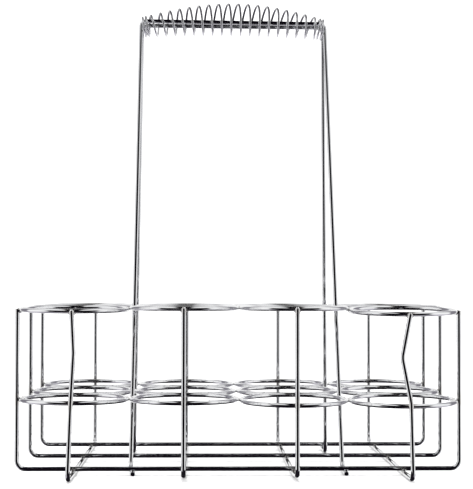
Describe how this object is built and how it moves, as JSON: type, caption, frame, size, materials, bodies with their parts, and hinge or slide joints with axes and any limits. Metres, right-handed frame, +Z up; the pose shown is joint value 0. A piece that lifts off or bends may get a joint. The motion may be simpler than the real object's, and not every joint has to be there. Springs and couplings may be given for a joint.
{
  "type": "bottle caddy",
  "caption": "Welded chrome wire caddy that holds bottles upright in rows of stacked rings, with a tall wire handle and an arched spring grip.",
  "frame": {"origin": "on the table under the middle of the caddy, the middle of the bottom of its box", "axes": "X along the long side, to the right as seen from the front; Y from front to rear; Z up"},
  "size_m": [0.3104, 0.2344, 0.3453],
  "materials": {
    "ring_wire": "polished",
    "frame_wire": "polished",
    "handle_wire": "polished",
    "grip_wire": "polished"
  },
  "bodies": {
    "root": {"upper_ring_front_1": "ring_wire", "upper_ring_front_2": "ring_wire", "upper_ring_front_3": "ring_wire", "upper_ring_front_4": "ring_wire", "upper_ring_middle_1": "ring_wire", "upper_ring_middle_2": "ring_wire", "upper_ring_middle_3": "ring_wire", "upper_ring_middle_4": "ring_wire", "upper_ring_rear_1": "ring_wire", "upper_ring_rear_2": "ring_wire", "upper_ring_rear_3": "ring_wire", "upper_ring_rear_4": "ring_wire", "lower_ring_front_1": "ring_wire", "lower_ring_front_2": "ring_wire", "lower_ring_front_3": "ring_wire", "lower_ring_front_4": "ring_wire", "lower_ring_middle_1": "ring_wire", "lower_ring_middle_2": "ring_wire", "lower_ring_middle_3": "ring_wire", "lower_ring_middle_4": "ring_wire", "lower_ring_rear_1": "ring_wire", "lower_ring_rear_2": "ring_wire", "lower_ring_rear_3": "ring_wire", "lower_ring_rear_4": "ring_wire", "long_frame_front": "frame_wire", "long_frame_middle": "frame_wire", "long_frame_rear": "frame_wire", "cross_frame_1": "frame_wire", "cross_frame_2": "frame_wire", "cross_frame_3": "frame_wire", "cross_frame_4": "frame_wire", "handle_bail_front": "handle_wire", "handle_bail_rear": "handle_wire", "spring_grip": "grip_wire"}
  },
  "joints": []
}
